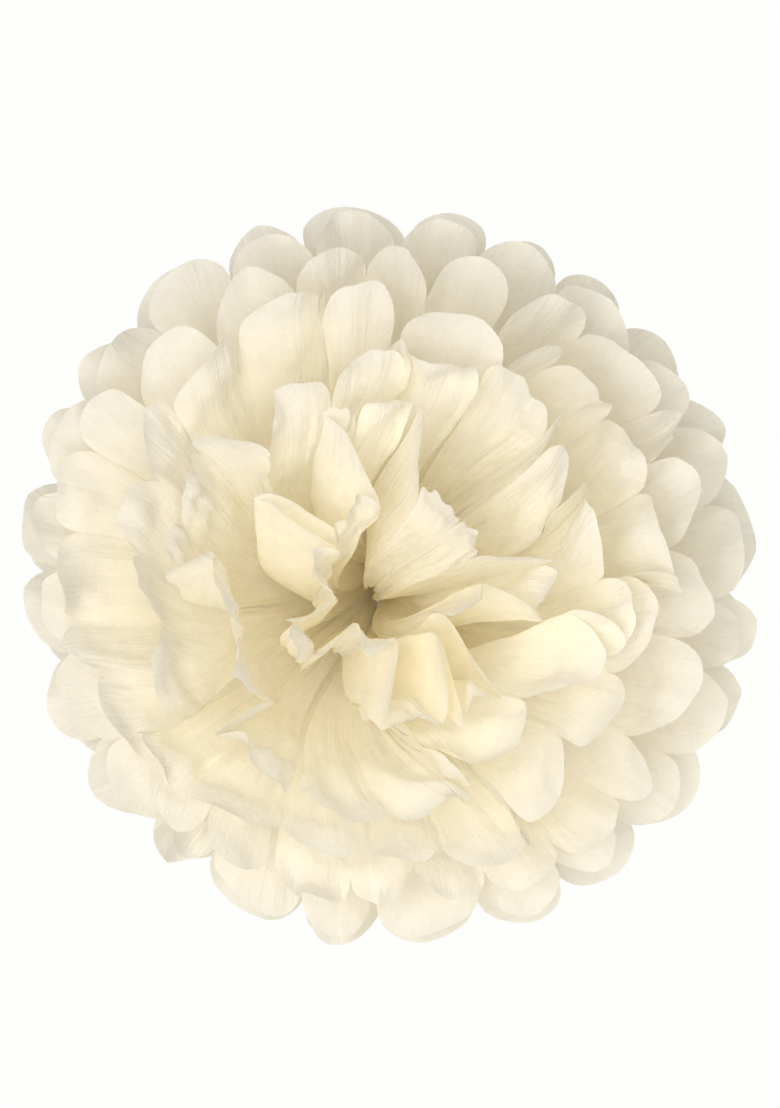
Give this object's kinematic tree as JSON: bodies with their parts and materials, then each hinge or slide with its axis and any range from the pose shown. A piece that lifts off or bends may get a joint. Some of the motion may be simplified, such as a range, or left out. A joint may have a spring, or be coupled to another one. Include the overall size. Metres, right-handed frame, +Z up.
{
  "type": "tissue paper pom pom",
  "caption": "Hanging ball of pleated tissue sheets with round-cut ends, gathered by a wire at its middle and pulled open into layers of petals.",
  "frame": {"origin": "the middle of the wire tie, where all the sheets are gathered, which is the ball's centre and what it hangs by", "axes": "+Z up as it hangs in the picture, -Y out of the flower's face, +X to the right of its face"},
  "size_m": [0.3528, 0.3525, 0.3504],
  "materials": {
    "tissue": "matt, thin enough to let light through",
    "wire": "satin"
  },
  "bodies": {
    "root": {"face_sheet_1": "tissue", "face_sheet_2": "tissue", "face_sheet_3": "tissue", "face_sheet_4": "tissue", "face_sheet_5": "tissue", "face_sheet_6": "tissue", "back_sheet_1": "tissue", "back_sheet_2": "tissue", "back_sheet_3": "tissue", "back_sheet_4": "tissue", "back_sheet_5": "tissue", "back_sheet_6": "tissue", "wire_tie": "wire"}
  },
  "joints": []
}
